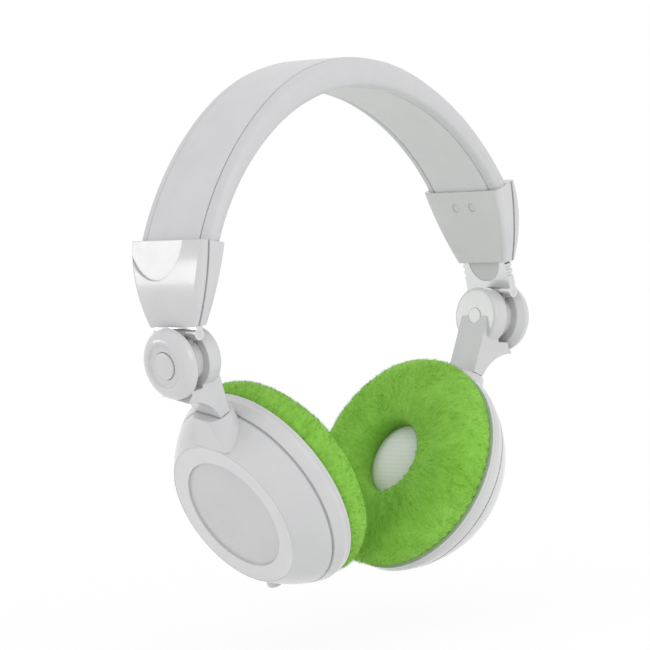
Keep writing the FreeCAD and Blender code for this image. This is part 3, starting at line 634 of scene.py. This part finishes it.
def makeCloth(side):
    centre, up, across, inward = cupFrame(side)
    count = cloth["around"]
    points = [centre + inward * (cloth["foot"] + cloth["rise"])]
    for k in range(1, cloth["rings"] + 1):
        share = k / cloth["rings"]
        height = cloth["foot"] + cloth["rise"] * (1 - share ** cloth["fullness"])
        for i in range(count):
            turn = math.tau * i / count
            ray = up * math.cos(turn) + across * math.sin(turn)
            points.append(centre + ray * cloth["radius"] * share + inward * height)
    points += [point - inward * cloth["hem"] for point in points[-count:]]
    faces = [(0, 1 + i, 1 + (i + 1) % count) for i in range(count)]
    for k in range(cloth["rings"]):
        a, b = 1 + k * count, 1 + (k + 1) * count
        faces += [(a + i, b + i, b + (i + 1) % count, a + (i + 1) % count) for i in range(count)]
    if side == "right":
        faces = [tuple(reversed(face)) for face in faces]
    piece = meshPiece(side + "DriverCloth", points, faces, acousticScrim, side + "_cup")
    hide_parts(side + "_driver_scrim")


for side in sides:
    makeCloth(side)
print("driver cloths made")


# thumb scoop in each end cap's outer face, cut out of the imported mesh

scoop = {"radius": 15.0 * mm, "back": 6.0 * mm, "top": -band["drop"], "topX": 83.75 * mm,
         "footX": 85.95 * mm, "reach": 12 * mm, "sides": 96}
capFace = {"mouth": (83.8 * mm, -band["drop"]), "middle": (87.0 * mm, -62.4 * mm),
           "foot": (86.8 * mm, -78.7 * mm), "near": 0.03 * mm, "weld": 0.001 * mm, "sharp": 28,
           "level": 0.05}


def faceNormals(mesh, side):
    # the cut leaves long facets on the bent face, so their normals come from the bend itself
    (cx, cz), radius = circleThrough(capFace["mouth"], capFace["middle"], capFace["foot"])
    out = -1 if side == "left" else 1
    normals = [Vector(n.vector) for n in mesh.corner_normals]
    for polygon in mesh.polygons:
        spots = [mesh.vertices[i].co for i in polygon.vertices]
        away = [abs(math.hypot(p.x * out - cx, p.z - cz) - radius) for p in spots]
        if max(away) < capFace["near"] and abs(polygon.normal.y) < capFace["level"]:
            for loop, p in zip(polygon.loop_indices, spots):
                normals[loop] = Vector((out * (p.x * out - cx), 0, p.z - cz)).normalized()
    mesh.normals_split_custom_set([tuple(n) for n in normals])


def carve(side, cutter):
    node = side + "_cap_outer"
    copy = nodes[node].copy()
    copy.data = nodes[node].data.copy()
    copy.modifiers.clear()
    scene = bpy.context.scene
    scene.collection.objects.link(copy)
    weld = copy.modifiers.new("weld", "WELD")
    weld.merge_threshold = capFace["weld"]
    cut = copy.modifiers.new("cut", "BOOLEAN")
    cut.operation, cut.solver, cut.object = "DIFFERENCE", "EXACT", cutter
    bpy.context.view_layer.update()
    mesh = bpy.data.meshes.new_from_object(copy.evaluated_get(bpy.context.evaluated_depsgraph_get()))
    mesh.transform(copy.matrix_world)
    bpy.data.objects.remove(copy)
    bpy.data.objects.remove(cutter)
    mesh.materials.clear()
    mesh.materials.append(paintedAbs)
    mesh.polygons.foreach_set("use_smooth", [True] * len(mesh.polygons))
    mesh.set_sharp_from_angle(angle=math.radians(capFace["sharp"]))
    faceNormals(mesh, side)
    piece = bpy.data.objects.new(side + "CapFace", mesh)
    scene.collection.objects.link(piece)
    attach(piece, "headband")
    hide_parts(node)


def scoopCutter(side):
    # a half-round prism whose floor slopes from the mouth's edge down into the face
    out = -1 if side == "left" else 1
    s, count = scoop, scoop["sides"]
    points = []
    for i in range(count):
        turn = math.tau * i / count
        y, drop = s["back"] + s["radius"] * math.cos(turn), s["radius"] * math.sin(turn)
        floor = s["topX"] + (s["footX"] - s["topX"]) * drop / s["radius"]
        points += [(out * floor, y, s["top"] - drop), (out * (floor + s["reach"]), y, s["top"] - drop)]
    faces = [(2 * i, 2 * i + 1, (2 * i + 3) % (2 * count), (2 * i + 2) % (2 * count)) for i in range(count)]
    faces += [tuple(2 * i for i in reversed(range(count))), tuple(2 * i + 1 for i in range(count))]
    mesh = bpy.data.meshes.new("scoopCutter")
    mesh.from_pydata(points, [], faces)
    if side == "left":
        mesh.flip_normals()
    cutter = bpy.data.objects.new("scoopCutter", mesh)
    bpy.context.scene.collection.objects.link(cutter)
    cutter.hide_render = True
    return cutter


for side in sides:
    carve(side, scoopCutter(side))
print("caps carved")


# painted plug over the inner end of each hinge pin

plug = {"radius": 3.3 * mm, "proud": 0.35 * mm, "face": 9.5 * mm, "edge": 0.15 * mm, "sunk": 0.05 * mm,
        "around": 48}


def makePlug(side):
    outboard = Vector(joints[side + "_button_press"]["axis"]).normalized()
    foot = Vector(joints[side + "_swing"]["pos_m"]) - outboard * (plug["face"] - plug["sunk"])
    first = outboard.orthogonal().normalized()
    second = outboard.cross(first)
    rings = ((plug["radius"], 0.0), (plug["radius"], plug["proud"] - plug["edge"]),
             (plug["radius"] - plug["edge"], plug["proud"]))
    count = plug["around"]
    points = [foot - outboard * (h + plug["sunk"]) + (first * math.cos(t) + second * math.sin(t)) * r
              for r, h in rings for t in (math.tau * i / count for i in range(count))]
    faces = [(a + i, b + i, b + (i + 1) % count, a + (i + 1) % count)
             for a, b in ((0, count), (count, 2 * count)) for i in range(count)]
    faces += [tuple(range(2 * count, 3 * count)), tuple(reversed(range(count)))]
    meshPiece(side + "PinPlug", points, faces, paintedAbs, side + "_arm", smooth=False)


for side in sides:
    makePlug(side)


# finishes of the rigid pieces that no skin replaces

dress("band_spring", brushedSteel)
for name, material in (
    ("cap_inner", paintedAbs), ("cap_screws", paintedAbs),
    ("click_spring", turnedSteel), ("slider_blade", brushedSteel), ("slider_insert", satinAbs),
    ("tilt_pin", turnedSteel), ("hub_link", satinAbs), ("hanger_arm", paintedAbs), ("hub_cover", paintedAbs),
    ("hinge_pin", turnedSteel), ("hub_washers", naturalAcetal), ("swivel_post", turnedSteel),
    ("swivel_clip", naturalAcetal), ("lock_button", paintedAbs), ("cup_shell", paintedAbs),
    ("back_ring", ringHighlightAbs), ("back_disc", satinAbs), ("rim_ring", paintedAbs), ("baffle", filledNylon),
    ("driver_frame", filledNylon), ("driver_magnet", nickelPlate), ("driver_diaphragm", filmDome),
    ("driver_grille", filledNylon), ("cup_screws", turnedSteel),
):
    dressBoth(name, material)
dress("left_audio_socket", paintedAbs)
print("finishes set")


# stage, light and camera

scene = bpy.context.scene
scene.view_settings.view_transform = "Standard"
world = bpy.data.worlds.new("studio")
scene.world = world
world.use_nodes = True
tree = world.node_tree
background = tree.nodes["Background"]
background.inputs["Color"].default_value = (1, 1, 1, 1)
# pure white to the eye, a little dimmer as a light, so that the white pieces keep their tone
ambient = 0.95
path = addNode(tree, "ShaderNodeLightPath")
seen = addNode(tree, "ShaderNodeMath", {0: path.outputs["Is Camera Ray"],
                                        1: path.outputs["Is Transmission Ray"]}, operation="MAXIMUM")
seen = addNode(tree, "ShaderNodeMath", {0: seen.outputs["Value"], 1: path.outputs["Is Glossy Ray"]},
               operation="MAXIMUM")
level = addNode(tree, "ShaderNodeMapRange", {"Value": seen.outputs["Value"], "To Min": ambient,
                                             "To Max": 1.0})
tree.links.new(level.outputs["Result"], background.inputs["Strength"])

# the floor lies below the cups also with both sliders pulled out and the cups tilted
floorDrop, floorSize = 20 * mm, 12
# near the object about an eighth of the floor's look is lit for real, which keeps the shadow; further
# out it is plain white
plainNear, plainFrom, plainTo = 0.88, 0.2, 0.6
floorMaterial, tree, shader = newMaterial("paleFloor")
setSockets(shader, Base_Color=linear("#FAFAFA"), Roughness=0.9, Specular_IOR_Level=0.1)
path = addNode(tree, "ShaderNodeLightPath")
glow = addNode(tree, "ShaderNodeEmission", {"Color": (1, 1, 1, 1), "Strength": 1.0})
seen = addNode(tree, "ShaderNodeMath", {0: path.outputs["Is Camera Ray"], 1: path.outputs["Is Glossy Ray"]},
               operation="MAXIMUM")
place = addNode(tree, "ShaderNodeTexCoord")
away = addNode(tree, "ShaderNodeVectorMath", {0: place.outputs["Object"]}, operation="LENGTH")
plain = addNode(tree, "ShaderNodeMapRange", {"Value": away.outputs["Value"], "From Min": plainFrom,
                                             "From Max": plainTo, "To Min": plainNear, "To Max": 1.0})
share = addNode(tree, "ShaderNodeMath", {0: seen.outputs["Value"], 1: plain.outputs["Result"]},
                operation="MULTIPLY")
mix = addNode(tree, "ShaderNodeMixShader", {0: share.outputs["Value"]})
tree.links.new(shader.outputs["BSDF"], mix.inputs[1])
tree.links.new(glow.outputs["Emission"], mix.inputs[2])
tree.links.new(mix.outputs["Shader"], tree.nodes["Material Output"].inputs["Surface"])
bpy.ops.mesh.primitive_plane_add(size=floorSize, location=(0, 0, cadLow.z - floorDrop))
floor = bpy.context.object
floor.name = "studioFloor"
floor.data.materials.append(floorMaterial)


def softbox(name, place, target, size, power):
    light = bpy.data.lights.new(name, "AREA")
    light.shape = "RECTANGLE"
    light.size, light.size_y = size
    light.energy = power
    lamp = bpy.data.objects.new(name, light)
    scene.collection.objects.link(lamp)
    lamp.location = place
    lamp.rotation_euler = (Vector(target) - Vector(place)).to_track_quat("-Z", "Y").to_euler()


# a large soft key from the front, a low strip behind for the left edges, a weak top; energy in watts
middle = (0, 0, -0.09)
softbox("keyFront", (-0.1, -1.35, 0.45), middle, (0.8, 0.8), 3.6)
softbox("rimLeft", (-1.0, 1.05, 0.09), middle, (0.5, 0.22), 1.6)
softbox("topSoft", (-0.2, 0.1, 1.3), middle, (0.7, 0.7), 0.5)

# the photograph's view: degrees, the focal length and the frame in pixels, the sensor in millimetres
view = {"azimuth": 42.8, "elevation": 5.8, "roll": -6.8, "distance": 1640 * mm, "pixels": 4217.0,
        "frame": 650.0, "side": -6.338 * mm, "height": -44.56 * mm - band["drop"], "sensor": 36.0}
a, e, r = (math.radians(view[k]) for k in ("azimuth", "elevation", "roll"))
forward = Vector((math.cos(e) * math.sin(a), math.cos(e) * math.cos(a), -math.sin(e)))
right = Vector((math.cos(a), -math.sin(a), 0))
upward = right.cross(forward)
cameraX = right * math.cos(r) + upward * math.sin(r)
cameraY = upward * math.cos(r) - right * math.sin(r)
cameraData = bpy.data.cameras.new("photoCamera")
cameraData.sensor_width = view["sensor"]
cameraData.lens = view["pixels"] / view["frame"] * view["sensor"]
camera = bpy.data.objects.new("photoCamera", cameraData)
scene.collection.objects.link(camera)
turn = Matrix((cameraX, cameraY, -forward)).transposed().to_4x4()
turn.translation = right * view["side"] + Vector((0, 0, view["height"])) - forward * view["distance"]
camera.matrix_world = turn
scene.camera = camera
print("stage, light and camera set")
